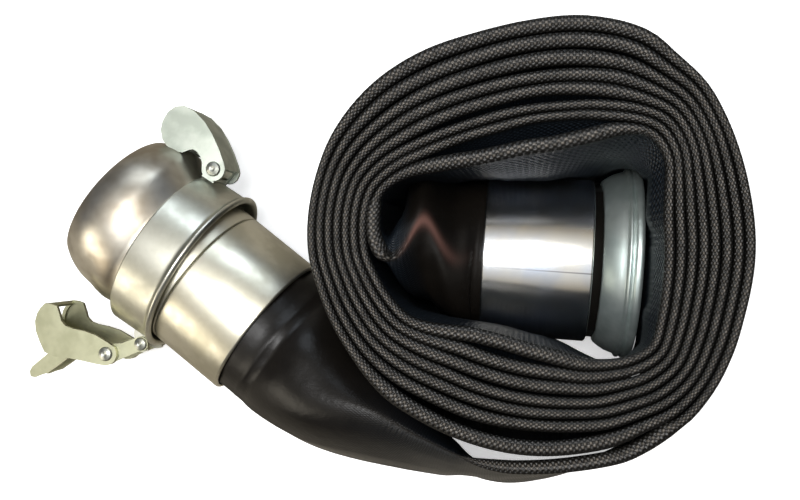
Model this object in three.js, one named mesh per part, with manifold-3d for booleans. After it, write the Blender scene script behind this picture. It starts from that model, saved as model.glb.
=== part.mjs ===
// Rolled layflat discharge hose with lever-lock couplings. Millimetres, Z up, rests on z = 0.
import * as THREE from 'three';
import Module from 'manifold-3d';

const wasm = await Module();
wasm.setup();

// Hose
const BORE = 102;                 // inside diameter when inflated
const WALL = 2.4;                 // jacket and lining together
const FLAT = 2 * WALL;            // thickness lying flat
const HIGH = 164;                 // width lying flat, so the height of the roll
const ROUND_R = BORE / 2 + 0.4 + WALL;
const TURN_START = 0.045;         // turns, measured clockwise from the -X side
const TURN_END = 7.645;
const STEPS_PER_TURN = 40;
const LAYERS = 8;

// Couplings
const TUBE_R = 48.5;              // bore of both couplings
const SHANK_R = 51;
const SLEEVE_R = 57;
const SLEEVE_IN = ROUND_R + 0.4;
const BALL_R = 62.5;
const SEG = 48;

// Male coupling: origin at the rear of its sleeve, pointing away from the roll
const MALE_AT = new THREE.Vector3(-193.7, -58.4, 66.6);
const MALE_YAW = 38;              // degrees above -X
const MALE_SLEEVE = 60;
const BALL_AT = 127;
const MOUTH_AT = 157.4;
const RING_AT = new THREE.Vector2(82.2, 0.2);
const RING_YAW = 5.5;             // the loose ring lies a little askew
const RING_IN = 61.3;
const RING_OUT = 63.8;
const RING_HALF = 18;

// Female coupling: origin on its axis at X = 0, pointing to +X
const FEMALE_AT = new THREE.Vector3(0, -5, 67.3);
const FEMALE_YAW = -3.5;

// Claw linkage on the ring: u along the ring, v outward on the hook's side
const HOOK_PIN = [12.6, 71.8];
const LINK_PIN = [-9.5, -68.2];
const LEVER_PIN = [8.6, -88.6];
const PLATE = 3;
const GAP = 0.4;

const rad = THREE.MathUtils.degToRad;
const V3 = (x, y, z) => new THREE.Vector3(x, y, z);

// ---------------------------------------------------------------- materials
const metal = (color, roughness) => new THREE.MeshStandardMaterial({ color, roughness, metalness: 0.9 });
const ZINC = 0xb4b2a4, YELLOW_ZINC = 0xb9b78c, BRIGHT = 0xc4c6c8;

// ---------------------------------------------------------------- solids
function solid(points, triangles) {
  let volume = 0;
  for (let i = 0; i < triangles.length; i += 3) {
    const [a, b, c] = [0, 1, 2].map(k => points[triangles[i + k]]);
    volume += a.dot(b.clone().cross(c));
  }
  const order = volume < 0 ? triangles.slice().reverse() : triangles;
  const flat = points.flatMap(p => [p.x, p.y, p.z]);
  return new wasm.Manifold(new wasm.Mesh({
    numProp: 3, vertProperties: new Float32Array(flat), triVerts: new Uint32Array(order) }));
}

// rings of equal point count, skinned; looped, or capped at both ends
function loft(rings, looped) {
  const n = rings[0].length, m = rings.length, tri = [];
  for (let i = 0; i < (looped ? m : m - 1); i++)
    for (let j = 0; j < n; j++) {
      const a = i * n + j, b = i * n + (j + 1) % n;
      const c = ((i + 1) % m) * n + (j + 1) % n, d = ((i + 1) % m) * n + j;
      tri.push(a, b, c, a, c, d);
    }
  if (!looped)
    for (let j = 1; j < n - 1; j++) {
      tri.push(0, j + 1, j);
      const e = (m - 1) * n;
      tri.push(e, e + j, e + j + 1);
    }
  return solid(rings.flat(), tri);
}

// a closed outline of [along, radius] turned about the axis of `place`
function turned(outline, place, segments = SEG) {
  const rings = [];
  for (let i = 0; i < segments; i++) {
    const a = 2 * Math.PI * i / segments;
    rings.push(outline.map(([s, r]) => V3(s, r * Math.cos(a), r * Math.sin(a)).applyMatrix4(place)));
  }
  return loft(rings, true);
}

// a plate with outline [u, v] between heights z0 and z1 of `place`
function plate(outline, z0, z1, place) {
  const line = outline.map(p => new THREE.Vector2(...p));
  if (THREE.ShapeUtils.isClockWise(line)) line.reverse();
  const n = line.length, tri = [];
  const points = [z0, z1].flatMap(z => line.map(p => V3(p.x, p.y, z).applyMatrix4(place)));
  for (const [a, b, c] of THREE.ShapeUtils.triangulateShape(line, [])) tri.push(a, c, b, n + a, n + b, n + c);
  for (let j = 0; j < n; j++) {
    const k = (j + 1) % n;
    tri.push(j, k, n + k, j, n + k, n + j);
  }
  return solid(points, tri);
}

const disc = ([u, v], r, count = 20, from = 0, to = 360) =>
  Array.from({ length: count }, (_, i) => {
    const a = rad(from + (to - from) * i / (to - from === 360 ? count : count - 1));
    return [u + r * Math.cos(a), v + r * Math.sin(a)];
  });

// the strip beside a line of points, from 0.15 mm inside it to `thickness`; the inside is on the line's left
function band(line, thickness) {
  const beside = distance => line.map((p, i) => {
    const a = line[Math.max(i - 1, 0)], b = line[Math.min(i + 1, line.length - 1)];
    const l = Math.hypot(b[0] - a[0], b[1] - a[1]);
    return [p[0] - distance * (b[1] - a[1]) / l, p[1] + distance * (b[0] - a[0]) / l];
  });
  return [...beside(0.15), ...beside(thickness).reverse()];
}

const group = new THREE.Group();
function add(name, body, material) {
  const mesh = body.getMesh();
  const geometry = new THREE.BufferGeometry();
  const p = new Float32Array(mesh.numVert * 3);
  for (let i = 0; i < mesh.numVert; i++)
    for (let k = 0; k < 3; k++) p[3 * i + k] = mesh.vertProperties[i * mesh.numProp + k];
  geometry.setAttribute('position', new THREE.BufferAttribute(p, 3));
  geometry.setIndex(new THREE.BufferAttribute(new Uint32Array(mesh.triVerts), 1));
  geometry.computeVertexNormals();
  const out = new THREE.Mesh(geometry, material);
  out.name = name;
  group.add(out);
}

// ---------------------------------------------------------------- the roll
// [degrees clockwise from -X, radius of the first layer, spread of the layers, lean at the floor]
const LOOP = [
  [0, 97, 44.6, 0], [20, 99.6, 44.9, 0], [30, 92, 54.5, 0], [45, 74.6, 72, 0], [60, 63.7, 80, 0],
  [75, 59.5, 82, 0], [90, 60, 84, 0], [105, 64, 85.6, 0], [118, 75, 76.9, 0], [127, 88.7, 58.6, 0],
  [136, 98.4, 46.6, 0], [146, 97, 43, 0], [156, 88, 48.3, 0], [167, 81.6, 51.8, 0], [182, 79.6, 52.3, 1],
  [196, 81.2, 50.2, 4], [208, 85.2, 48.6, 13], [218, 89.6, 46.5, 27], [228, 84.3, 53.4, 32],
  [237, 77, 58.5, 24], [246, 69, 67, 19], [256, 60, 75.5, 19], [267, 54, 81, 20], [280, 50.5, 84, 22],
  [292, 50.3, 84, 22], [304, 53.5, 80.8, 20.5], [314, 61.5, 73.5, 15], [322, 71, 63.5, 11],
  [330, 80.5, 53.5, 7], [341, 87, 49, 3], [351, 92.3, 46, 1]];

// periodic smooth curve through column k of LOOP
function loopAt(angle, k) {
  const n = LOOP.length, a = ((angle % 360) + 360) % 360;
  let i = LOOP.findIndex((row, j) => a < (j + 1 < n ? LOOP[j + 1][0] : 360));
  const get = j => {
    const w = Math.floor(j / n), row = LOOP[j - w * n];
    return [row[0] + 360 * w, row[k]];
  };
  const [p0, p1, p2, p3] = [i - 1, i, i + 1, i + 2].map(get);
  const t = (a - p1[0]) / (p2[0] - p1[0]), h = p2[0] - p1[0];
  const m1 = (p2[1] - p0[1]) / (p2[0] - p0[0]) * h, m2 = (p3[1] - p1[1]) / (p3[0] - p1[0]) * h;
  return (2 * t ** 3 - 3 * t ** 2 + 1) * p1[1] + (t ** 3 - 2 * t ** 2 + t) * m1 +
    (3 * t ** 2 - 2 * t ** 3) * p2[1] + (t ** 3 - t ** 2) * m2;
}

// centre of the flat hose at `turns`, at height z
function rollPoint(turns, z) {
  const a = turns * 360;
  const r = loopAt(a, 1) + loopAt(a, 2) * turns / LAYERS + loopAt(a, 3) * (1 - z / HIGH);
  return V3(-r * Math.cos(rad(a)), r * Math.sin(rad(a)), z);
}

function rollSection(turns) {
  const side = (z, half) => {
    const step = rollPoint(turns + 0.002, z).sub(rollPoint(turns - 0.002, z)).normalize();
    return rollPoint(turns, z).add(V3(-step.y, step.x, 0).multiplyScalar(half));
  };
  const h = FLAT / 2;
  return [side(0, -h), side(0, h), side(HIGH - 1.6, h), side(HIGH, 0), side(HIGH - 1.6, -h)];
}

const rollRings = [];
const count = Math.round((TURN_END - TURN_START) * STEPS_PER_TURN);
for (let i = 0; i <= count; i++) rollRings.push(rollSection(TURN_START + (TURN_END - TURN_START) * i / count));
const roll = loft(rollRings, false);

// ---------------------------------------------------------------- the two ends of the hose
// [x, y, half width, lean in degrees] from the flat hose to the round end
const TAIL = [
  [91.5, -118.5, 2.6, 10.5], [76.5, -130, 2.8, 11], [59, -140.5, 3.6, 12], [33, -148.5, 6, 13],
  [5, -155, 10, 14.5], [-22, -156, 14.5, 16], [-48, -150, 19.5, 14], [-78, -138, 26.5, 10],
  [-110, -120, 35, 4], [-141, -101, 46, 1], [-168, -79, 53, 0]];
const LEAD = [
  [-96, 28, 2.6, 0], [-97, 16, 2.8, 0], [-95.5, 5, 3.4, 0], [-90.5, -4, 6.5, 0], [-82, -7, 17, 0],
  [-70, -5, 36, 0], [-54, -3, 49, 0], [-40, -2.5, 53, 0]];

const halfHigh = a => ROUND_R + (HIGH / 2 - ROUND_R) * (1 - Math.min(a / ROUND_R, 1)) ** 0.53;

// `lean` turns the top of the hose toward the roll when `inward` is 1
function hoseEnd(stations, axisHeight, inward, endPoints) {
  const curve = new THREE.CatmullRomCurve3([
    ...stations.map(([x, y, a, lean]) => V3(x, y, 0)), ...endPoints.map(p => V3(p.x, p.y, 0))], false, 'centripetal');
  const total = stations.length + endPoints.length - 1, rings = [];
  const pick = (t, k, end) => {
    const i = Math.min(Math.floor(t), total - 1), f = t - i, s = f * f * (3 - 2 * f);
    const at = j => j < stations.length ? stations[j][k] : end;
    return at(i) * (1 - s) + at(i + 1) * s;
  };
  for (let t = 0; t <= total + 1e-6; t += t < stations.length - 1.01 ? 1 / 2 : 1) {
    const u = Math.min(t / total, 1), c = curve.getPoint(u), d = curve.getTangent(u);
    const a = pick(t, 2, ROUND_R), b = halfHigh(a), lean = rad(pick(t, 3, 0));
    const side = V3(d.y, -d.x, 0).normalize().multiplyScalar(inward);
    const ext = Math.hypot(b * Math.cos(lean), a * Math.sin(lean));
    const zc = ext + (axisHeight - ROUND_R) * Math.min(a / ROUND_R, 1) ** 2;
    rings.push(Array.from({ length: 24 }, (_, j) => {
      const q = 2 * Math.PI * (j + 0.5) / 24, w = a * Math.cos(q), h = b * Math.sin(q);
      return c.clone().add(side.clone().multiplyScalar(w * Math.cos(lean) + h * Math.sin(lean)))
        .setZ(zc + h * Math.cos(lean) - w * Math.sin(lean));
    }));
  }
  return loft(rings, false);
}

const malePlace = new THREE.Matrix4().makeBasis(
  V3(-Math.cos(rad(MALE_YAW)), Math.sin(rad(MALE_YAW)), 0),
  V3(Math.sin(rad(MALE_YAW)), Math.cos(rad(MALE_YAW)), 0), V3(0, 0, -1)).setPosition(MALE_AT);
const femalePlace = new THREE.Matrix4().makeRotationZ(rad(FEMALE_YAW)).setPosition(FEMALE_AT);
const on = (place, s) => V3(s, 0, 0).applyMatrix4(place);

const cylinder = (place, s0, s1, r, segments = SEG) => {
  const ring = s => Array.from({ length: segments }, (_, j) => {
    const q = 2 * Math.PI * j / segments;
    return V3(s, r * Math.cos(q), r * Math.sin(q)).applyMatrix4(place);
  });
  return loft([ring(s0), ring(s1)], false);
};

const FEMALE_REAR = -31, FEMALE_HOSE = 46.9;
const tail = hoseEnd(TAIL, MALE_AT.z, 1, [-14, 2, MALE_SLEEVE].map(s => on(malePlace, s)));
const lead = hoseEnd(LEAD, FEMALE_AT.z, -1, [FEMALE_REAR, 0, FEMALE_HOSE].map(s => on(femalePlace, s)));
const hose = roll.add(tail).add(lead)
  .subtract(cylinder(malePlace, -10, MALE_SLEEVE + 5, SHANK_R + 0.4))
  .subtract(cylinder(femalePlace, FEMALE_REAR - 5, FEMALE_HOSE + 5, SHANK_R + 0.4));
add('hose', hose, new THREE.MeshStandardMaterial({ color: 0x1d1e21, roughness: 0.5 }));

// ---------------------------------------------------------------- ferrules and shanks
const sleeve = (s0, s1) => [[s0, SLEEVE_IN], [s0, SLEEVE_R - 0.6], [s0 + 0.6, SLEEVE_R],
  [s1 - 0.6, SLEEVE_R], [s1, SLEEVE_R - 0.6], [s1, SLEEVE_IN]];
add('male_sleeve', turned(sleeve(0, MALE_SLEEVE), malePlace), metal(BRIGHT, 0.3));
add('female_sleeve', turned(sleeve(FEMALE_REAR, 41.5), femalePlace), metal(BRIGHT, 0.2));

const shank = (s0, s1) => {
  const out = [[s0, TUBE_R], [s0, SHANK_R - 0.8], [s0 + 2, SHANK_R]];
  for (let s = s0 + 12; s < s1 - 14; s += 20) out.push([s, SHANK_R], [s + 0.5, SHANK_R - 0.7], [s + 5, SHANK_R]);
  return [...out, [s1, SHANK_R], [s1, TUBE_R]];
};
add('male_shank', turned(shank(-6, MALE_SLEEVE), malePlace, 36), metal(ZINC, 0.45));
add('female_shank', turned(shank(FEMALE_REAR, FEMALE_HOSE), femalePlace, 36), metal(ZINC, 0.45));

// ---------------------------------------------------------------- ball, cup and seal
const arc = (centre, radius, from, to, steps) => Array.from({ length: steps + 1 }, (_, i) => {
  const a = rad(from + (to - from) * i / steps);
  return [centre + radius * Math.cos(a), radius * Math.sin(a)];
});
add('male_ball', turned([
  [60.3, TUBE_R], [60.3, SLEEVE_R - 0.5], [61, SLEEVE_R], [98, SLEEVE_R],
  ...arc(BALL_AT, BALL_R, 112, 62, 11), [MOUTH_AT, 53.6], [MOUTH_AT, 52],
  ...arc(BALL_AT, BALL_R - 3, 60, 125, 9)], malePlace), metal(0xa69d8c, 0.35));

add('female_cup', turned([
  [47.2, TUBE_R], [47.2, 56.4], [48, 57.2], [51, 59.4], [55, 61.8], [59, 63.2], [62, 64], [63.4, 65.6],
  [65.2, 67], [69.6, 67], [71.4, 66.2], [72, 65], [72, 62.4], [71, 61.2], [67, 60.4], [61.6, 59.6], [52.6, 59.4],
  [52.4, 53.2], [50, 50]], femalePlace), metal(ZINC, 0.25));
add('female_seal', turned(Array.from({ length: 10 }, (_, i) => [
  56.4 + 3.5 * Math.cos(i * Math.PI / 5), 55.4 + 3.5 * Math.sin(i * Math.PI / 5)]), femalePlace, 40),
  new THREE.MeshStandardMaterial({ color: 0x141414, roughness: 0.7 }));

// ---------------------------------------------------------------- closure ring and its lugs
const ringPlace = malePlace.clone()
  .multiply(new THREE.Matrix4().makeTranslation(RING_AT.x, RING_AT.y, 0))
  .multiply(new THREE.Matrix4().makeRotationZ(-rad(RING_YAW)));
add('closure_ring', turned([
  [-RING_HALF, RING_IN + 0.4], [-RING_HALF - 0.7, 63.4], [-RING_HALF - 0.2, 65.4], [-RING_HALF + 1.4, 66.2],
  [-RING_HALF + 3, 65.6], [-RING_HALF + 4, 64.2], [-RING_HALF + 7, RING_OUT], [RING_HALF - 0.8, RING_OUT],
  [RING_HALF, RING_OUT - 0.7], [RING_HALF, RING_IN + 0.5], [RING_HALF - 0.6, RING_IN],
  [-RING_HALF + 0.6, RING_IN]], ringPlace), metal(ZINC, 0.45));

// lugs stand on the ring: two ears and a saddle, cut to the ring's outside
const ringSolid = cylinder(ringPlace, -40, 40, RING_OUT + 0.3)
  .add(cylinder(ringPlace, -22, -RING_HALF + 6, 66.6));
const lugIn = 10.5, lugOut = 14.5;
const hookEar = [[8.6, 60], [19, 60], [18.4, 69], ...disc(HOOK_PIN, 5.5, 9, 0, 180), [8.2, 67]];
const hookSaddle = [[8.6, 60], [19, 60], [18.6, 66.6], [8.6, 66.6]];
const upright = ([u, v]) => ringPlace.clone().multiply(new THREE.Matrix4().makeTranslation(u, v, 0))
  .multiply(new THREE.Matrix4().makeRotationY(-Math.PI / 2));
const pinHole = (at, r) => cylinder(upright(at), -40, 40, r, 20);
// pin with two domed heads, centred on height 0
const pin = (at, r, reach, head) => turned([
  [-reach - 2.2, head * 0.4], [-reach - 1.2, head * 0.85], [-reach - 0.1, head],
  [-reach, r], [reach, r], [reach + 0.1, head], [reach + 1.2, head * 0.85], [reach + 2.2, head * 0.4],
  [reach + 1.7, 0.8], [-reach - 1.7, 0.8]], upright(at), 20).add(cylinder(upright(at), -reach, reach, r, 20))
  .add(cylinder(upright(at), -reach - 1.7, reach + 1.7, 1.2, 12));
const lug = (ear, saddle, at, r) => plate(ear, -lugOut + 0.6, -lugIn, ringPlace)
  .add(plate(ear, lugIn, lugOut - 0.6, ringPlace)).add(plate(saddle, -lugOut + 0.6, lugOut - 0.6, ringPlace))
  .subtract(ringSolid).subtract(pinHole(at, r));
add('hook_lug', lug(hookEar, hookSaddle, HOOK_PIN, 3.9), metal(ZINC, 0.35));

const leverEar = [[-12, -60], [-12.6, -66.9], [-15, -69], ...disc(LINK_PIN, 6.5, 8, 200, 330),
  [0, -66], [3, -60]].reverse();
const leverSaddle = [[-11.6, -60], [3, -60], [0.4, -65.8], [-11.6, -65.8]];
add('lever_lug', lug(leverEar, leverSaddle, LINK_PIN, 3.5), metal(ZINC, 0.45));

// ---------------------------------------------------------------- hook
const hookBack = [[5, 76.6], [8.4, 80], [16.7, 86.4], [26.6, 92.8], [37.1, 97.8], [47.8, 100.2], [57, 99.6],
  [62.4, 95.6], [65.4, 89], [65.2, 81]];
const hookOutline = [...hookBack, [63, 75], [58, 69.6], [52.4, 67.4], [45.4, 67.2], [39.6, 69.5], [36.4, 73.6],
  [34, 75.8], [30.7, 76.2], [26, 74.4], [22.4, 71.2], ...disc(HOOK_PIN, 8.9, 9, 330, 190), [4, 73.6]];
const hookIn = 14.6, hookFar = hookIn + PLATE;
add('hook', plate(hookOutline, hookIn, hookFar, ringPlace).add(plate(hookOutline, -hookFar, -hookIn, ringPlace))
  .add(plate(band([...hookBack].reverse(), PLATE), 0.2 - hookFar, hookFar - 0.2, ringPlace))
  .subtract(pinHole(HOOK_PIN, 3.9)), metal(0xaeb1a1, 0.4));
add('hook_rivet', pin(HOOK_PIN, 3.6, hookFar + 0.3, 5.6), metal(BRIGHT, 0.3));
const bush = (at, rIn, rOut, reach) =>
  turned([[-reach, rIn], [-reach, rOut], [reach, rOut], [reach, rIn]], upright(at), 20);
add('hook_bush', bush(HOOK_PIN, 3.9, 5.2, lugIn - 0.4), metal(ZINC, 0.5));

// ---------------------------------------------------------------- link and lever
const linkIn = lugOut, linkOut = linkIn + PLATE;
const linkOutline = [...disc(LINK_PIN, 5.6, 9, 40, 245), [-5, -82.5], ...disc(LEVER_PIN, 8.4, 8, 190, 380),
  [3.5, -76], [-2.6, -68]];
for (const [name, side] of [['link_near', 1], ['link_far', -1]]) {
  const heights = side > 0 ? [-linkOut, -linkIn] : [linkIn, linkOut];
  add(name, plate(linkOutline, ...heights, ringPlace).subtract(pinHole(LINK_PIN, 3.5))
    .subtract(pinHole(LEVER_PIN, 4.1)), metal(YELLOW_ZINC, 0.45));
}
add('link_rivet', pin(LINK_PIN, 3.2, linkOut + 0.3, 5), metal(BRIGHT, 0.3));

const leverIn = linkOut + GAP, leverOut = leverIn + PLATE;
const leverBack = [[60.6, -79.8], [65, -80.8], [69.8, -83], [71.2, -88], [71.2, -93], [69.5, -99], [65, -104.8],
  [58, -110], [50.5, -114.5]];
const leverOutline = [...leverBack, [42, -113], [33, -108.2], [21.2, -103], [12, -99.4], [5, -96.4],
  ...disc(LEVER_PIN, 8.6, 6, 235, 110), [12, -80.4], [23, -81.2], [33, -84], [41, -87.2], [46.5, -88.6],
  [51.5, -87.4], [55.3, -84]];
const rootLine = [[50.5, -114.5], [42, -113], [33, -108.2]];
const handleOutline = [[47, -108], [50.5, -114.5], [54.2, -125], [57.2, -133.5], [57, -138], [54.2, -140.8],
  [51, -139.6], [48, -135.4], [44, -131], [40, -122], [36.6, -113.5], [36, -106]];
const handleBack = [[50.5, -114.5], [54.2, -125], [57.2, -133.5], [57, -138], [54.2, -140.8]];
const handleHalf = 11;
const windowHalf = 16;
const leverWindow = plate([[80, -86.4], [66, -86.4], [66, -99], [80, -99]], -windowHalf, windowHalf, ringPlace);
add('lever', plate(leverOutline, leverIn, leverOut, ringPlace)
  .add(plate(leverOutline, -leverOut, -leverIn, ringPlace))
  .add(plate(band([...leverBack.slice(2)].reverse(), PLATE), 0.2 - leverOut, leverOut - 0.2, ringPlace)
    .subtract(leverWindow))
  .add(plate(band([...rootLine].reverse(), PLATE), 0.2 - leverOut, leverOut - 0.2, ringPlace))
  .add(plate(handleOutline, handleHalf - PLATE, handleHalf, ringPlace))
  .add(plate(handleOutline, -handleHalf, -handleHalf + PLATE, ringPlace))
  .add(plate(band([...handleBack].reverse(), PLATE), 0.2 - handleHalf, handleHalf - 0.2, ringPlace))
  .subtract(pinHole(LEVER_PIN, 4.1)), metal(YELLOW_ZINC, 0.4));
add('lever_rivet', pin(LEVER_PIN, 3.8, leverOut + 0.3, 5.4), metal(BRIGHT, 0.3));
add('lever_bush', bush(LEVER_PIN, 4.1, 6, linkIn - 0.4), metal(ZINC, 0.5));

// ---------------------------------------------------------------- frame: centred over its base
const box = new THREE.Box3().setFromObject(group);
for (const mesh of group.children) {
  mesh.geometry.translate(-(box.min.x + box.max.x) / 2, -(box.min.y + box.max.y) / 2, -box.min.z);
}
export default group;
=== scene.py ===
import math

import bmesh
import bpy
import numpy as np
from mathutils import Matrix, Vector


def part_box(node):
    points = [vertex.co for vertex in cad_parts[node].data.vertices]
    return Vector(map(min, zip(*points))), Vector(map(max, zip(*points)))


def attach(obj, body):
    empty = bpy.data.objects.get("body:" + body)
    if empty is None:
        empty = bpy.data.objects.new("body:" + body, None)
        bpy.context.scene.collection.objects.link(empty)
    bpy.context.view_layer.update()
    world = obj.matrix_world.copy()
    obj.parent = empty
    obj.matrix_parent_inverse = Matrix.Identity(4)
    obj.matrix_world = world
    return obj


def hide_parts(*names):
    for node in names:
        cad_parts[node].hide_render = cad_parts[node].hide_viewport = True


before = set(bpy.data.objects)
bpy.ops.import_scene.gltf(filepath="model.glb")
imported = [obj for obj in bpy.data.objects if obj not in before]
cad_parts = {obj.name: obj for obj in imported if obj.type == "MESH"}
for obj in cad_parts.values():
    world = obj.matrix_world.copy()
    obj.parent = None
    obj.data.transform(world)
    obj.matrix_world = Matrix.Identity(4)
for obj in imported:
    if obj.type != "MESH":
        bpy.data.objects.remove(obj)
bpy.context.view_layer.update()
MM = 0.001

# ------------------------------------------------------------------ places
# Lengths below are millimetres from the roll's centre, and this is where that centre lies in the frame.
HOSE_RIGHT, HOSE_FAR = 131.76, 140.16
_, hose_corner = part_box("hose")
CENTRE = Vector((hose_corner.x - HOSE_RIGHT * MM, hose_corner.y - HOSE_FAR * MM, 0.0))

MALE_AT, MALE_YAW = (-193.7, -58.4, 66.6), math.radians(38)
FEMALE_AT, FEMALE_YAW = (0, -5, 67.3), math.radians(-3.5)
RING_AT, RING_YAW = (82.2, 0.2), math.radians(5.5)


def basis(x, y, z, at):
    """The frame with axes x, y and z and its origin at `at`."""
    m = Matrix((x, y, z)).transposed().to_4x4()
    m.translation = Vector(at)
    return m


# each coupling's x axis runs along it, out of its hose end
MALE = basis((-math.cos(MALE_YAW), math.sin(MALE_YAW), 0), (math.sin(MALE_YAW), math.cos(MALE_YAW), 0),
             (0, 0, -1), MALE_AT)
FEMALE = Matrix.Translation(FEMALE_AT) @ Matrix.Rotation(FEMALE_YAW, 4, "Z")
RING = MALE @ Matrix.Translation((*RING_AT, 0)) @ Matrix.Rotation(-RING_YAW, 4, "Z")


def row(p):
    """A point in millimetres from the roll's centre, in the frame's metres."""
    return CENTRE + Vector(p) * MM


# ------------------------------------------------------------------ camera
EYE, TILT, FOCAL = 694.0, math.radians(8.5), 38.9
camera = bpy.data.objects.new("camera", bpy.data.cameras.new("camera"))
camera.data.lens, camera.data.sensor_width = FOCAL, 36.0
camera.location = row((0, 0, EYE))
camera.rotation_euler = (0, TILT, 0)
bpy.context.collection.objects.link(camera)
bpy.context.scene.camera = camera


# ------------------------------------------------------------------ materials
class Nodes:
    """Short way to wire a material's nodes."""

    def __init__(self, name):
        self.material = bpy.data.materials.new(name)
        self.material.use_nodes = True
        self.tree = self.material.node_tree
        self.shader = self.tree.nodes["Principled BSDF"]

    def add(self, kind, **inputs):
        node = self.tree.nodes.new("ShaderNode" + kind)
        for key, value in inputs.items():
            if key.startswith("_"):
                setattr(node, key[1:], value)
            else:
                self.put(node.inputs[key.replace("_", " ")], value)
        return node

    def put(self, socket, value):
        if isinstance(value, bpy.types.NodeSocket):
            self.tree.links.new(value, socket)
        else:
            socket.default_value = value

    def math(self, operation, a, b=0.0, c=0.0, clamp=False):
        node = self.add("Math", _operation=operation, _use_clamp=clamp)
        for socket, value in zip(node.inputs, (a, b, c)):
            self.put(socket, value)
        return node.outputs[0]

    def smooth(self, value, low, high, to_low=0.0, to_high=1.0):
        node = self.add("MapRange", _interpolation_type="SMOOTHSTEP", Value=value)
        for key, number in (("From Min", low), ("From Max", high), ("To Min", to_low), ("To Max", to_high)):
            node.inputs[key].default_value = number
        return node.outputs[0]

    def mix(self, factor, a, b):
        node = self.add("Mix", _data_type="RGBA")
        self.put(node.inputs[0], factor)
        self.put(node.inputs[6], a)
        self.put(node.inputs[7], b)
        return node.outputs[2]

    def noise(self, vector, scale, detail=3.0, rough=0.55):
        node = self.add("TexNoise", Vector=vector, Scale=scale, Detail=detail, Roughness=rough)
        return node.outputs["Fac"]

    def bump(self, height, distance, strength=1.0):
        node = self.add("Bump", Height=height, Distance=distance, Strength=strength)
        self.put(self.shader.inputs["Normal"], node.outputs[0])

    def set(self, **inputs):
        for key, value in inputs.items():
            self.put(self.shader.inputs[key.replace("_", " ")], value)


def colour(r, g, b):
    return (r, g, b, 1.0)


def zinc(name, light, dark, rough, patch=55.0, metal=1.0):
    """Zinc plate: light and dark patches, uneven roughness and a slightly wavy surface."""
    n = Nodes(name)
    where = n.add("TexCoord").outputs["Object"]
    patches = n.smooth(n.noise(where, patch, 3.0, 0.5), 0.34, 0.68)
    fine = n.noise(where, 300.0, 1.0)
    n.set(
        Base_Color=n.mix(patches, dark, light), Metallic=metal,
        Roughness=n.math("ADD", n.smooth(patches, 0.0, 1.0, rough + 0.05, rough - 0.02),
                         n.smooth(fine, 0.3, 0.7, -0.01, 0.015)))
    wave = n.add("TexNoise", Vector=where, Scale=45.0, Detail=0.0)
    n.bump(wave.outputs["Fac"], 0.00003, 0.4)
    return n.material


ZINC = zinc("zinc", colour(0.68, 0.67, 0.58), colour(0.52, 0.51, 0.43), 0.36)
ZINC_GREY = zinc("zinc_grey", colour(0.46, 0.49, 0.43), colour(0.34, 0.37, 0.32), 0.42)
ZINC_WARM = zinc("zinc_warm", colour(0.80, 0.76, 0.67), colour(0.36, 0.31, 0.24), 0.36, 26.0)
ZINC_YELLOW = zinc("zinc_yellow", colour(0.56, 0.56, 0.39), colour(0.40, 0.40, 0.27), 0.4)
BRIGHT = zinc("zinc_bright", colour(0.78, 0.75, 0.63), colour(0.56, 0.53, 0.42), 0.34, 40.0)
RIVET = zinc("zinc_rivet", colour(0.46, 0.47, 0.42), colour(0.34, 0.35, 0.31), 0.4)
POLISHED = zinc("zinc_polished", colour(0.80, 0.77, 0.70), colour(0.56, 0.61, 0.70), 0.2, 24.0)
CUP_ZINC = zinc("zinc_cup", colour(0.74, 0.82, 0.79), colour(0.46, 0.54, 0.52), 0.34, 38.0, 0.86)


def tint_where(material, attribute, tint):
    """A second colour where a mesh attribute is 1."""
    tree, shader = material.node_tree, material.node_tree.nodes["Principled BSDF"]
    mask, mixer = tree.nodes.new("ShaderNodeAttribute"), tree.nodes.new("ShaderNodeMix")
    mask.attribute_name, mixer.data_type = attribute, "RGBA"
    tree.links.new(shader.inputs["Base Color"].links[0].from_socket, mixer.inputs[6])
    tree.links.new(mask.outputs["Fac"], mixer.inputs[0])
    mixer.inputs[7].default_value = tint
    tree.links.new(mixer.outputs[2], shader.inputs["Base Color"])


tint_where(ZINC_WARM, "tube", colour(0.68, 0.65, 0.54))
tint_where(POLISHED, "seam", colour(0.10, 0.10, 0.11))

seal_nodes = Nodes("seal_rubber")
seal_nodes.set(Base_Color=colour(0.012, 0.012, 0.012), Roughness=0.6)
SEAL = seal_nodes.material


RIB_PITCH, WARP_PITCH = 0.0038, 0.0024


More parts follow.
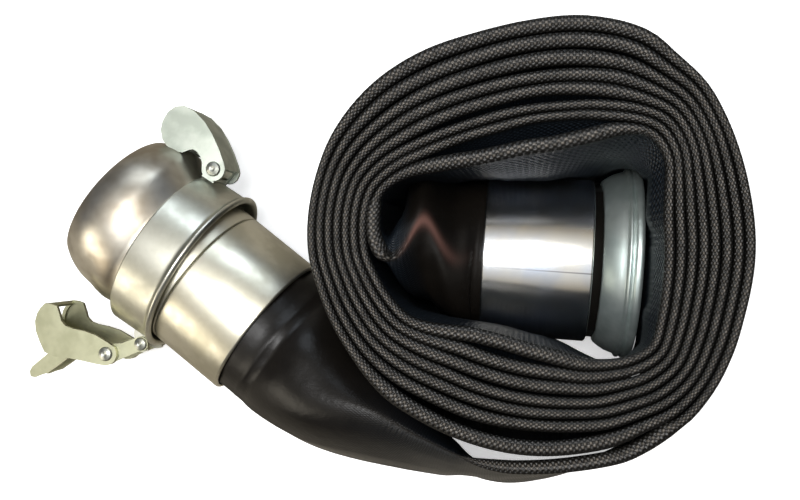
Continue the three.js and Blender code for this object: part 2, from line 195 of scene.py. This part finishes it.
def hose_material():
    """Black ribbed rubber over a weave, smooth near the couplings, with a painted brown-grey sheen mixed with
    wear on the upper folds, painted bluish skylight on the walls below them and a painted reddish highlight
    on the crease beside the inner coupling.

    The UV map is metres along the hose and metres round it from the upper fold.
    """
    n = Nodes("hose_rubber")
    uv = n.add("SeparateXYZ", Vector=n.add("UVMap").outputs[0])
    along, around = uv.outputs[0], uv.outputs[1]
    smooth_end = n.add("Attribute", _attribute_name="smooth_end").outputs["Fac"]
    crest = n.add("Attribute", _attribute_name="crest").outputs["Fac"]
    where = n.add("TexCoord").outputs["Object"]
    woven = n.math("SUBTRACT", 1.0, smooth_end)

    depth = n.math("ABSOLUTE", around)
    ribs = n.math("SINE", n.math("MULTIPLY", along, 2 * math.pi / RIB_PITCH))
    warp = n.math("SINE", n.math("MULTIPLY", around, 2 * math.pi / WARP_PITCH))
    weave = n.math("MULTIPLY", ribs, warp)
    dots = n.smooth(weave, -0.2, 0.9)
    wear = n.noise(where, 160.0, 3.0)
    patches = n.noise(where, 22.0, 3.0, 0.6)

    # walls below the fold tops: the deeper part gets bluish dots, a painted reflection of blue skylight, and
    # nearer the fold top it stays brown-dark
    wall = n.mix(dots, colour(0.0035, 0.0045, 0.0062), colour(0.013, 0.020, 0.028))
    shoulder = n.mix(dots, colour(0.0045, 0.0041, 0.0035), colour(0.014, 0.0128, 0.0110))
    wall = n.mix(n.smooth(depth, 0.004, 0.008), shoulder, wall)
    # fold tops: brown-grey dots, partly a painted sheen of the overhead light and partly real rubbing where
    # the wear noise is high
    ridge_sheen_and_wear = n.mix(dots, colour(0.020, 0.0178, 0.0150), colour(0.185, 0.162, 0.137))
    sheen_and_wear_mask = n.math("MULTIPLY", crest, n.smooth(wear, 0.3, 0.62, 0.3, 1.0))
    body = n.mix(sheen_and_wear_mask, wall, ridge_sheen_and_wear)
    lining = n.mix(patches, colour(0.0025, 0.0023, 0.0020), colour(0.009, 0.0068, 0.0050))
    blush = n.add("Attribute", _attribute_name="blush").outputs["Fac"]
    # a painted reddish-brown highlight along the crease where the hose folds over beside the inner coupling
    lining = n.mix(blush, lining, colour(0.15, 0.075, 0.06))
    gloss = n.smooth(patches, 0.3, 0.7, -0.04, 0.07)
    n.set(Base_Color=n.mix(smooth_end, body, lining),
          Roughness=n.math("ADD", n.smooth(smooth_end, 0.0, 1.0, 0.37, 0.35), gloss))
    n.set(Specular_IOR_Level=0.3)
    fade = n.smooth(depth, 0.012, 0.03, 1.0, 0.45)
    creases = n.math("MULTIPLY", n.noise(where, 60.0, 4.0, 0.6), n.smooth(smooth_end, 0.0, 1.0, 0.15, 0.8))
    threads = n.math("ADD", n.math("MULTIPLY", weave, 0.42), n.math("MULTIPLY", ribs, 0.2))
    threads = n.math("MULTIPLY", n.math("MULTIPLY", threads, fade), woven)
    n.bump(n.math("ADD", threads, creases), 0.0006)
    return n.material


HOSE = hose_material()


# ------------------------------------------------------------------ shapes
def mesh_object(name, verts, faces, material, smooth=True):
    mesh = bpy.data.meshes.new(name)
    mesh.from_pydata([tuple(v) for v in verts], [], faces)
    mesh.polygons.foreach_set("use_smooth", [smooth] * len(mesh.polygons))
    mesh.materials.append(material)
    obj = bpy.data.objects.new(name, mesh)
    bpy.context.collection.objects.link(obj)
    return obj


def outward(obj):
    """Turns a closed mesh's faces outward."""
    bm = bmesh.new()
    bm.from_mesh(obj.data)
    bmesh.ops.recalc_face_normals(bm, faces=bm.faces)
    bm.to_mesh(obj.data)
    bm.free()


def rounded(outline, radius=0.5):
    """A closed outline with each corner cut by up to `radius`, so that turned edges catch the light."""
    out, count = [], len(outline)
    for i, (s, r) in enumerate(outline):
        p = Vector((s, r))
        a, b = Vector(outline[i - 1]) - p, Vector(outline[(i + 1) % count]) - p
        if a.length < 1e-6 or b.length < 1e-6 or abs(a.angle(b) - math.pi) < math.radians(14):
            out.append(p)
            continue
        cut = min(radius, a.length * 0.4, b.length * 0.4)
        pa, pb = p + a.normalized() * cut, p + b.normalized() * cut
        out += [pa, (pa + pb) / 4 + p / 2, pb]
    return out


def turned(name, outline, place, material, segments=160):
    """A closed outline of (along, radius) in millimetres, turned about the axis of `place`."""
    outline = rounded(outline)
    verts, faces, count = [], [], len(outline)
    for i in range(segments):
        a = 2 * math.pi * i / segments
        for s, r in outline:
            verts.append(row(place @ Vector((s, r * math.cos(a), r * math.sin(a)))))
    for i in range(segments):
        for j in range(count):
            k, m = (j + 1) % count, (i + 1) % segments
            faces.append((i * count + j, i * count + k, m * count + k, m * count + j))
    obj = mesh_object(name, verts, faces, material)
    outward(obj)
    uv = obj.data.uv_layers.new(name="UVMap")
    for loop in obj.data.loops:
        i, j = divmod(loop.vertex_index, count)
        uv.data[loop.index].uv = (outline[j][0] * MM, outline[j][1] * MM * 2 * math.pi * i / segments)
    obj.data.set_sharp_from_angle(angle=math.radians(38))
    return obj


def arc(centre, radius, start, end, steps):
    """Points of an arc about (centre, 0), from `start` to `end` in degrees."""
    angles = [math.radians(start + (end - start) * i / steps) for i in range(steps + 1)]
    return [(centre + radius * math.cos(a), radius * math.sin(a)) for a in angles]


def stand_for(obj, node, body):
    """A new piece takes the place of a CAD node."""
    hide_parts(node)
    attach(obj, body)


# ------------------------------------------------------------------ the hose's route
HIGH, ROUND_R, FOLD_R = 164.0, 53.8, 2.75
TURN_START, TURN_END, LAYERS = 0.045, 7.645, 8
RINGS_PER_TURN = 132

# (degrees clockwise from -X, radius of the first layer, spread of the layers, lean at the floor)
LOOP = np.array([
    (0, 97, 44.6, 0), (20, 99.6, 44.9, 0), (30, 92, 54.5, 0), (45, 74.6, 72, 0), (60, 63.7, 80, 0),
    (75, 59.5, 82, 0), (90, 60, 84, 0), (105, 64, 85.6, 0), (118, 75, 76.9, 0), (127, 88.7, 58.6, 0),
    (136, 98.4, 46.6, 0), (146, 97, 43, 0), (156, 88, 48.3, 0), (167, 81.6, 51.8, 0), (182, 79.6, 52.3, 1),
    (196, 81.2, 50.2, 4), (208, 85.2, 48.6, 13), (218, 89.6, 46.5, 27), (228, 84.3, 53.4, 32),
    (237, 77, 58.5, 24), (246, 69, 67, 19), (256, 60, 75.5, 19), (267, 54, 81, 20), (280, 50.5, 84, 22),
    (292, 50.3, 84, 22), (304, 53.5, 80.8, 20.5), (314, 61.5, 73.5, 15), (322, 71, 63.5, 11),
    (330, 80.5, 53.5, 7), (341, 87, 49, 3), (351, 92.3, 46, 1)], float)
# the two ends, each from the flat hose to the round end: (x, y, half width, lean in degrees)
TAIL = [
    (91.5, -118.5, 2.6, 10.5), (76.5, -130, 2.7, 11), (59, -141, 2.8, 12.5), (33, -150, 3.2, 14.5),
    (5, -156.5, 4, 16.5), (-22, -158.5, 5.5, 17.8), (-48, -153, 10, 17.5), (-78, -139.5, 21, 17),
    (-110, -121, 35, 15), (-141, -101, 46, 8), (-168, -79, 53, 2)]
LEAD = [
    (-96, 28, 2.6, 0), (-97, 16, 2.8, 0), (-95.5, 5, 3.4, 0), (-90.5, -4, 6.5, 0), (-82, -7, 17, 0),
    (-70, -5, 36, 0), (-54, -3, 49, 0), (-40, -2.5, 53, 0)]
FEMALE_REAR, FEMALE_HOSE, MALE_SLEEVE = -31.0, 46.9, 60.0


def loop_at(angle, column):
    """Periodic smooth curve through one column of LOOP."""
    n, a = len(LOOP), angle % 360
    i = int(np.searchsorted(LOOP[:, 0], a, side="right")) - 1

    def point(j):
        return LOOP[j % n, 0] + 360 * (j // n), LOOP[j % n, column]

    (x0, y0), (x1, y1), (x2, y2), (x3, y3) = (point(j) for j in (i - 1, i, i + 1, i + 2))
    t, h = (a - x1) / (x2 - x1), x2 - x1
    m1, m2 = (y2 - y0) / (x2 - x0) * h, (y3 - y1) / (x3 - x1) * h
    return ((2 * t**3 - 3 * t**2 + 1) * y1 + (t**3 - 2 * t**2 + t) * m1
            + (3 * t**2 - 2 * t**3) * y2 + (t**3 - t**2) * m2)


def wander(angle, turn, seed):
    """Slow unevenness between -1 and 1, different on each layer."""
    a = math.radians(angle)
    return (0.5 * math.sin(2 * a + 1.7 * turn + seed) + 0.3 * math.sin(5 * a - 2.3 * turn + 2 * seed)
            + 0.2 * math.sin(9 * a + 3.1 * turn + 3 * seed))


# how far turns sit outward on the far and the near side of the roll: (turn, share of the spread, width)
FAR_BUNCH = ((1.2, 0.075, 0.35), (2.8, 0.03, 1.5))
NEAR_BUNCH = ((1.8, 0.02, 0.8), (5.6, -0.07, 1.3))
TIGHT_SPREAD, LOOSE_SPREAD = 47, 83


def humps(turns, table):
    return sum(size * math.exp(-((turns - at) ** 2) / width) for at, size, width in table)


def roll_point(turns, z):
    """Centre of the flat hose, with the layers bunched where the roll has room."""
    a = turns * 360
    spread, lift = loop_at(a, 2), math.sin(math.radians(a))
    room = max(0.0, min((spread - TIGHT_SPREAD) / (LOOSE_SPREAD - TIGHT_SPREAD), 1.0))
    ends = min(1.0, (turns - TURN_START) * 4, (TURN_END - turns) * 4)
    bunch = humps(turns, FAR_BUNCH) * max(lift, 0) + humps(turns, NEAR_BUNCH) * max(-lift, 0)
    share = turns / LAYERS + room * ends * (bunch + 0.007 * wander(a, turns, 0.4))
    r = loop_at(a, 1) + spread * share + loop_at(a, 3) * (1 - z / HIGH)
    return Vector((-r * math.cos(math.radians(a)), r * math.sin(math.radians(a)), z))


def flat_profile():
    """Half the flat hose's section, from the top fold to the bottom one: (half thickness, height)."""
    points = [(FOLD_R * math.sin(math.radians(a)), HIGH - FOLD_R + FOLD_R * math.cos(math.radians(a)))
              for a in (0, 18, 36, 54, 72, 90)]
    for half, below in ((2.68, 5.5), (2.5, 9), (2.36, 16), (2.3, 30), (2.3, 55), (2.3, HIGH / 2)):
        points.append((half, HIGH - below))
    return points + [(w, HIGH - z) for w, z in reversed(points[:-1])]


HALF = flat_profile()
LENGTHS = np.concatenate([[0], np.cumsum([math.dist(a, b) for a, b in zip(HALF, HALF[1:])])])
# the way round the section: (side, half thickness, height, distance from the top fold, share of the whole)
SECTION = [(1, w, z, d, d / LENGTHS[-1] / 2) for (w, z), d in zip(HALF, LENGTHS)]
SECTION += [(-1, w, z, -d, 1 - d / LENGTHS[-1] / 2) for (w, z), d in list(zip(HALF, LENGTHS))[-2:0:-1]]


def half_high(a):
    """Half height of the hose where its half width is `a`."""
    return ROUND_R + (HIGH / 2 - ROUND_R) * (1 - min(a / ROUND_R, 1)) ** 0.53


def blend_smooth(t, low, high):
    """0 below `low`, 1 above `high` and smooth between."""
    t = max(0.0, min((t - low) / (high - low), 1.0))
    return t * t * (3 - 2 * t)


def catmull(points, t):
    """Point at parameter t on a smooth curve through `points`."""
    i = min(int(t), len(points) - 2)
    f = t - i
    p = [points[max(0, min(i + k, len(points) - 1))] for k in (-1, 0, 1, 2)]
    return tuple(
        0.5 * (2 * b + (c - a) * f + (2 * a - 5 * b + 4 * c - d) * f * f + (3 * b - a - 3 * c + d) * f**3)
        for a, b, c, d in zip(*p))


def end_sections(stations, axis_height, inward, place, end, fold, per=9):
    """Sections from the flat hose to the round end, and on inside the ferrule to `end`."""
    reach = [place @ Vector((s, 0, 0)) for s in end]
    stations = stations + [(p.x, p.y, ROUND_R, 0) for p in reach]
    last, sections = len(stations) - 1, []
    steps = (last - len(end) + 1) * per
    for t in [i / per for i in range(steps)] + [last - len(end) + 1 + k / 2 for k in range(2 * len(end) - 1)]:
        x, y, a, lean = catmull(stations, t)
        x0, y0, *_ = catmull(stations, max(t - 0.05, 0))
        x1, y1, *_ = catmull(stations, min(t + 0.05, last))
        ahead = Vector((x1 - x0, y1 - y0, 0)).normalized()
        side = Vector((ahead.y, -ahead.x, 0)) * inward
        a, lean = min(max(a, 2.6), ROUND_R), math.radians(lean)
        b, m = half_high(a), blend_smooth(a, 2.8, 13.0)
        ext = math.hypot(b * math.cos(lean), a * math.sin(lean))
        zc = ext + (axis_height - ROUND_R) * min(a / ROUND_R, 1) ** 2
        pinch = 1 - blend_smooth(a, 20, 50)
        ring = []
        for sgn, w, z, _, share in SECTION:
            q = math.pi / 2 - 2 * math.pi * share * inward
            c, s = math.cos(q), math.sin(q)
            wide = a * c * abs(c) ** (0.5 * pinch)
            flat = (sgn * w * fatness(z, FREE_GAP) * inward, z - HIGH / 2)
            u, h = flat[0] * (1 - m) + wide * m, flat[1] * (1 - m) + b * s * m
            p = Vector((x, y, 0)) + side * (u * math.cos(lean) + h * math.sin(lean))
            p.z = zc + h * math.cos(lean) - u * math.sin(lean)
            p = fold(p, c, h / b)
            ring.append(Vector((p.x, p.y, max(p.z, 0.0))))
        sections.append(ring)
    return sections


def lead_fold(p, across, height):
    """The M-shaped crease where the hose folds over on itself beside the inner coupling."""
    x = p.x
    up = blend_smooth(height, 0.1, 1.0)
    hump = 24 * math.exp(-((x + 67) / 10.5) ** 2) - 4 * math.exp(-((x + 46) / 9) ** 2)
    hump *= blend_smooth(x, -92, -80) * up * (1 - 0.45 * abs(across))
    near = float(np.interp(x, (-95.5, -92, -88, -80, -70, -60, -48), (0, 13, 25, 27, 18, 7, 0)))
    far = float(np.interp(x, (-92, -86, -80, -70, -60, -50), (0, 7, 9, 4, 1, 0)))
    return p + Vector((0, hump + near * max(across, 0) ** 0.8 - far * max(-across, 0), 0))


# dents in the hose's top beside the outer coupling: (place, size, depth), and a depth below 0 is a swelling
DENTS = (((-166, -34, 112), 13, 3.4), ((-150, -64, 122), 16, -1.6), ((-176, -78, 120), 9, 1.5),
         ((-128, -84, 118), 22, 2.2))


def tail_fold(p, _across, _height):
    """Shallow dents and one swelling on top, beside the outer coupling."""
    for place, size, depth in DENTS:
        d = (p - Vector(place)).length
        if d < 3 * size:
            p = p - Vector((0, 0, depth * math.exp(-((d / size) ** 2))))
    return p


# how far the innermost wall may sag inward below its crest: (angle, most)
SAG = np.array([(0, 0), (30, 0), (45, 10), (75, 20), (110, 26), (160, 26), (200, 22), (225, 8), (231, 0),
                (240, 0), (250, 9), (262, 14), (300, 15), (325, 12), (342, 0), (360, 0)], float)
# the inner coupling and its hose end, which stop the sag: (along, radius)
CUP_LINE = np.array([(-86, 38), (-60, 47), (-31, 57), (47, 57.4), (62, 65), (65, 67.4), (73, 67.4)], float)
CUP_CLEARANCE = 3.6
LEVELS = sorted({z for _, _, z, _, _ in SECTION})


def sag_table(per=120):
    """Inward sag of the innermost wall by angle and level, stopped at the coupling it wraps."""
    back, table = FEMALE.inverted(), np.zeros((per, len(LEVELS)))
    for i in range(per):
        a = 360 * i / per
        most = float(np.interp(a, SAG[:, 0], SAG[:, 1]))
        for j, z in enumerate(LEVELS):
            p = roll_point(a / 360, z)
            inward = Vector((-p.x, -p.y, 0)).normalized()
            limit = most * (1 - blend_smooth(z, 126, 160))
            step = 0.0
            while step < limit:
                q = back @ (p + inward * (step + 1))
                if CUP_LINE[0, 0] < q.x < CUP_LINE[-1, 0] + 3.5:
                    radius = float(np.interp(q.x, CUP_LINE[:, 0], CUP_LINE[:, 1]))
                    if math.hypot(q.y, q.z) < radius + CUP_CLEARANCE:
                        break
                step += 1
            table[i, j] = min(step, limit)
    for _ in range(2):
        table = np.minimum(table, (np.roll(table, 1, 0) + table + np.roll(table, -1, 0)) / 3 + 0.4)
        padded = np.pad(table, ((0, 0), (1, 1)), mode="edge")
        table = np.minimum(table, (padded[:, :-2] + table + padded[:, 2:]) / 3 + 0.4)
    return table


SAG_AT = sag_table()
SAG_FADES = 0.98, 5.2


def sag(turns, z):
    """Inward sag of the hose at one place: all of it on the first turn, fading out over the next ones."""
    share = 1 - blend_smooth(turns, *SAG_FADES)
    if not share:
        return 0.0
    t = turns % 1 * len(SAG_AT)
    i, f, j = int(t), t - int(t), LEVELS.index(z)
    return share * float(SAG_AT[i, j] * (1 - f) + SAG_AT[(i + 1) % len(SAG_AT), j] * f)


FREE_GAP = 10.0
EDGE_DROP = 1.2


def fatness(z, gap):
    """How much the folded edge swells into the space between layers."""
    return 1 + (min(max(0.46 * gap / FOLD_R, 1.0), 1.75) - 1) * blend_smooth(z, 128, 160)


def roll_section(turns):
    """One section of the rolled hose, with its upper edge a little uneven."""
    drop = EDGE_DROP * (0.5 + 0.5 * wander(turns * 360, turns, 1.1))
    edge = [roll_point(turns + k, HIGH).xy.length for k in (-1, 0, 1) if 0 < turns + k < TURN_END + 0.001]
    gap = min(out - into for into, out in zip(edge, edge[1:]))
    ring = []
    for sgn, w, z, _, _ in SECTION:
        side = (roll_point(turns + 0.002, z) - roll_point(turns - 0.002, z)).normalized()
        p = roll_point(turns, z)
        p -= Vector((p.x, p.y, 0)).normalized() * sag(turns, z)
        p += Vector((side.y, -side.x, 0)) * (sgn * w * fatness(z, gap))
        p -= Vector((0, 0, drop * (z / HIGH) ** 4))
        p.z = max(p.z, 0.0)
        ring.append(p)
    return ring


def hose_sections():
    """All sections from the inner end to the outer one, and the index of the roll's first one."""
    lead = end_sections(LEAD, FEMALE_AT[2], -1, FEMALE, (FEMALE_REAR, 0, FEMALE_HOSE), lead_fold)
    tail = end_sections(TAIL, MALE_AT[2], 1, MALE, (-14, 2, MALE_SLEEVE), tail_fold)
    steps = int((TURN_END - TURN_START) * RINGS_PER_TURN)
    roll = [roll_section(TURN_START + (TURN_END - TURN_START) * i / steps) for i in range(steps + 1)]
    lead = [[ring[-j % COUNT] for j in range(COUNT)] for ring in lead]
    return lead[:0:-1] + roll[1:-1] + tail[1:], len(lead) - 1


COUNT = len(SECTION)
rings, roll_from = hose_sections()
centres = [sum(ring, Vector()) / COUNT for ring in rings]
travel = [0.0]
for a, b in zip(centres, centres[1:]):
    travel.append(travel[-1] + (b - a).xy.length)
hose_length = travel[-1]

verts = [row(p) for ring in rings for p in ring]
faces = []
for i in range(len(rings) - 1):
    for j in range(COUNT):
        k = (j + 1) % COUNT
        faces.append((i * COUNT + j, i * COUNT + k, (i + 1) * COUNT + k, (i + 1) * COUNT + j))


def hollow(ring_index, inner_radius, further_in, depth):
    """Closes one round end with an annulus and a blind bore, toward the centre `further_in`."""
    axis = (centres[ring_index] - further_in).normalized()
    base = ring_index * COUNT
    previous = [base + j for j in range(COUNT)]
    for back, r in ((0, inner_radius), (depth, inner_radius), (depth + 6, inner_radius * 0.6)):
        start = len(verts)
        for j in range(COUNT):
            p = rings[ring_index][j] - centres[ring_index]
            p = centres[ring_index] + p.normalized() * r - axis * back
            verts.append(row(p))
        now = [start + j for j in range(COUNT)]
        for j in range(COUNT):
            k = (j + 1) % COUNT
            faces.append((previous[j], previous[k], now[k], now[j]))
        previous = now
    faces.append(tuple(previous))


BORE_R = 51.4
hollow(0, BORE_R, centres[2], 74.0)
hollow(len(rings) - 1, BORE_R, centres[-3], 70.0)
hose = mesh_object("hose_roll", verts, faces, HOSE)
outward(hose)

ring_count = len(rings)
uv = hose.data.uv_layers.new(name="UVMap")
smooth_end, crest, blush = (hose.data.attributes.new(name, "FLOAT", "POINT")
                            for name in ("smooth_end", "crest", "blush"))
for v in hose.data.vertices:
    i, j = divmod(v.index, COUNT)
    if i >= ring_count:
        smooth_end.data[v.index].value = 1.0
        continue
    from_lead, from_tail = travel[i], hose_length - travel[i]
    end = 1 - blend_smooth(from_lead, 122, 140)
    end = max(end, 1 - blend_smooth(from_tail, 120, 270))
    smooth_end.data[v.index].value = end
    d = abs(SECTION[j][3])
    # the fold tops, where the hose material paints a brown-grey sheen mixed with wear
    crest.data[v.index].value = 1 - blend_smooth(d, 0.0, 1.9)
    x = (v.co.x - CENTRE.x) / MM
    # painted highlight mask: the fold top of the inner end's hose, strongest at the M-shaped crease
    if i <= roll_from:
        blush.data[v.index].value = math.exp(-((d / 5) ** 2)) * math.exp(-(((x + 70) / 17) ** 2))
for polygon in hose.data.polygons:
    for loop_index in polygon.loop_indices:
        i, j = divmod(hose.data.loops[loop_index].vertex_index, COUNT)
        i = min(i, ring_count - 1)
        uv.data[loop_index].uv = (travel[i] * MM, SECTION[j][3] * MM)
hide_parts("hose")
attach(hose, "hose_and_couplings")

# ------------------------------------------------------------------ couplings
ROOT = "hose_and_couplings"
SLEEVE_R, SLEEVE_BORE = 57, 54.2
FINE = 480


def sleeve(s0, s1):
    """A ferrule's outline from s0 to s1, with its edges turned in."""
    return [(s0, SLEEVE_BORE), (s0, SLEEVE_R - 0.8), (s0 + 1.2, SLEEVE_R), (s1 - 1.2, SLEEVE_R),
            (s1, SLEEVE_R - 0.8), (s1, SLEEVE_BORE)]


def along(place, v):
    """A vertex in millimetres in a coupling's own frame."""
    return place.inverted() @ ((v.co - CENTRE) / MM)


male_tube = turned("male_sleeve_tube", sleeve(0, MALE_SLEEVE), MALE, BRIGHT, FINE)
stand_for(male_tube, "male_sleeve", ROOT)

SEAM_ANGLE, SEAM_HALF, SEAM_FROM = 98.5, 0.45, -12
tube_piece = turned("female_sleeve_tube", sleeve(FEMALE_REAR, 41.5), FEMALE, POLISHED, FINE)
seam = tube_piece.data.attributes.new("seam", "FLOAT", "POINT")
for v in tube_piece.data.vertices:
    p = along(FEMALE, v)
    turn = math.degrees(math.atan2(p.z, p.y))
    seam.data[v.index].value = 0.8 if abs(turn - SEAM_ANGLE) < SEAM_HALF and p.x > SEAM_FROM else 0.0
stand_for(tube_piece, "female_sleeve", ROOT)

# the ball: a straight tube, then a dome whose front sits to one side and is shortened
BALL_AT, BALL_R, BALL_WALL, TUBE_END = 127, 62.5, 3, 99.5
BALL_ASIDE, ASIDE_FROM, ASIDE_TO = 4.6, 105, 128
SHORT_FROM, SHORTENED = 118, 0.86
ball = turned("male_ball_shell", [
    (60.3, 48.5), (60.3, 56.5), (61, SLEEVE_R), (98, SLEEVE_R), *arc(BALL_AT, BALL_R, 112, 62, 30),
    (157.4, 53.6), (157.2, 52.6), *arc(BALL_AT, BALL_R - BALL_WALL, 60, 125, 24)], MALE, ZINC_WARM)
tube = ball.data.attributes.new("tube", "FLOAT", "POINT")
for v in ball.data.vertices:
    p = along(MALE, v)
    tube.data[v.index].value = 1.0 if p.x < TUBE_END else 0.0
    p.y += BALL_ASIDE * blend_smooth(p.x, ASIDE_FROM, ASIDE_TO)
    if p.x > SHORT_FROM:
        p.x = SHORT_FROM + (p.x - SHORT_FROM) * SHORTENED
    v.co = row(MALE @ p)
stand_for(ball, "male_ball", ROOT)

stand_for(turned("female_cup_shell", [
    (47.2, 48.5), (47.2, 56.4), (48, 57.2), (51, 59.4), (55, 61.8), (59, 63.2), (61.8, 64),
    (62.3, 65.6), (63.3, 66.3), (64.4, 66.1), (65.1, 65.2), (66, 65.2), (66.6, 66.3), (67.8, 67),
    (70, 67), (71.4, 66.3), (72, 65), (72, 62.4), (71, 61.2), (67, 60.4), (61.6, 59.6),
    (52.6, 59.4), (52.4, 53.2), (50, 50)], FEMALE, CUP_ZINC), "female_cup", ROOT)

SEAL_AT, SEAL_R, SEAL_HALF = 56.4, 55.4, 3.5
stand_for(turned("female_seal_ring", [
    (SEAL_AT + SEAL_HALF * math.cos(a * math.pi / 12), SEAL_R + SEAL_HALF * math.sin(a * math.pi / 12))
    for a in range(24)], FEMALE, SEAL), "female_seal", ROOT)

stand_for(turned("closure_ring_band", [
    (-18, 61.7), (-18.6, 62.4), (-18.8, 63.6), (-18.3, 65), (-17.4, 65.9), (-16.4, 66.2), (-15.4, 65.9),
    (-14.6, 65.2), (-14, 64.4), (-12.6, 63.9), (-11, 63.8), (17.2, 63.8), (18, 63.1), (18, 61.8),
    (17.4, 61.3), (-17.4, 61.3)], RING, ZINC), "closure_ring", "ring")


def dress(node, material, bevel, smooth=40):
    """A CAD node keeps its mesh; flat faces are joined and edges rounded by modifiers."""
    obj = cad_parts[node]
    obj.data.materials.clear()
    obj.data.materials.append(material)
    obj.data.polygons.foreach_set("use_smooth", [True] * len(obj.data.polygons))
    if bevel:
        flat = obj.modifiers.new("join flats", "DECIMATE")
        flat.decimate_type, flat.angle_limit = "DISSOLVE", math.radians(1.5)
        edge = obj.modifiers.new("rounded edges", "BEVEL")
        edge.width, edge.segments, edge.limit_method = bevel * MM, 2, "ANGLE"
        edge.angle_limit, edge.harden_normals = math.radians(30), True
    obj.data.set_sharp_from_angle(angle=math.radians(smooth))


# (CAD node, its material, how far its edges are rounded)
for node, material, bevel in (
        ("male_shank", ZINC, 0), ("female_shank", ZINC, 0),
        ("hook_lug", ZINC_GREY, 0.5), ("hook", ZINC_GREY, 0.7), ("hook_rivet", RIVET, 0),
        ("hook_bush", ZINC, 0), ("lever_lug", ZINC, 0.5), ("link_near", ZINC_YELLOW, 0.5),
        ("link_far", ZINC_YELLOW, 0.5), ("link_rivet", RIVET, 0), ("lever", ZINC_YELLOW, 0.6),
        ("lever_rivet", RIVET, 0), ("lever_bush", ZINC, 0)):
    dress(node, material, bevel)

# ------------------------------------------------------------------ floor and light
# the floor is nearly white to the camera, and darker and warmer in reflections and bounced light
FLOOR_HALF, FLOOR_BELOW = 30, 0.0005
floor_nodes = Nodes("floor")
seen = floor_nodes.add("LightPath").outputs["Is Camera Ray"]
floor_nodes.set(
    Base_Color=floor_nodes.mix(seen, colour(0.30, 0.27, 0.22), colour(0.93, 0.93, 0.93)), Roughness=0.9,
    Emission_Color=colour(1, 1, 1), Emission_Strength=floor_nodes.math("MULTIPLY", seen, 0.52))
corners = [(x * FLOOR_HALF, y * FLOOR_HALF, 0) for x, y in ((-1, -1), (1, -1), (1, 1), (-1, 1))]
floor = mesh_object("floor", corners, [(0, 1, 2, 3)], floor_nodes.material, False)
floor.location.z = -FLOOR_BELOW


def area_light(name, at, target, size, power, tint=(1, 1, 1)):
    """A soft light of `size` metres that faces `target`."""
    light = bpy.data.lights.new(name, "AREA")
    light.shape, light.size, light.size_y = "RECTANGLE", size[0], size[1]
    light.energy, light.color = power, tint
    obj = bpy.data.objects.new(name, light)
    obj.location = Vector(at)
    obj.rotation_euler = (Vector(target) - Vector(at)).to_track_quat("-Z", "Y").to_euler()
    bpy.context.collection.objects.link(obj)


area_light("overhead", (-0.05, 0.12, 1.6), (0, 0, 0), (0.85, 0.42), 18)
area_light("window", (0.2, 1.5, 0.9), (0, 0, 0.05), (1.4, 0.5), 9, (0.80, 0.90, 1.0))
area_light("lamp", (-1.4, -0.7, 0.8), (-0.1, 0, 0.05), (1.0, 0.6), 8, (1.0, 0.92, 0.76))


def studio_world():
    """Dark low down and bright overhead in reflections, and pale where the camera sees it."""
    world = bpy.data.worlds.new("world")
    world.use_nodes = True
    tree = world.node_tree
    new, link = tree.nodes.new, tree.links.new

    # height of the direction from 0, straight down, to 1, straight up
    split = new("ShaderNodeSeparateXYZ")
    link(new("ShaderNodeTexCoord").outputs["Generated"], split.inputs[0])
    half = new("ShaderNodeMath")
    half.operation, half.inputs[1].default_value, half.inputs[2].default_value = "MULTIPLY_ADD", 0.5, 0.5
    link(split.outputs[2], half.inputs[0])

    ramp = new("ShaderNodeValToRGB")
    link(half.outputs[0], ramp.inputs[0])
    low, high = ramp.color_ramp.elements
    low.position, low.color = 0.5, colour(0.16, 0.14, 0.11)
    high.position, high.color = 0.97, colour(0.95, 0.97, 1.0)
    for position, shade in (
            (0.60, (0.05, 0.06, 0.085)), (0.80, (0.10, 0.11, 0.13)), (0.88, (0.42, 0.38, 0.31))):
        ramp.color_ramp.elements.new(position).color = colour(*shade)

    backdrop = new("ShaderNodeMix")
    backdrop.data_type = "RGBA"
    link(new("ShaderNodeLightPath").outputs["Is Camera Ray"], backdrop.inputs[0])
    link(ramp.outputs[0], backdrop.inputs[6])
    backdrop.inputs[7].default_value = colour(0.95, 0.95, 0.95)
    background = tree.nodes["Background"]
    link(backdrop.outputs[2], background.inputs[0])
    background.inputs[1].default_value = 0.9
    return world


bpy.context.scene.world = studio_world()
bpy.context.scene.view_settings.view_transform = "Standard"
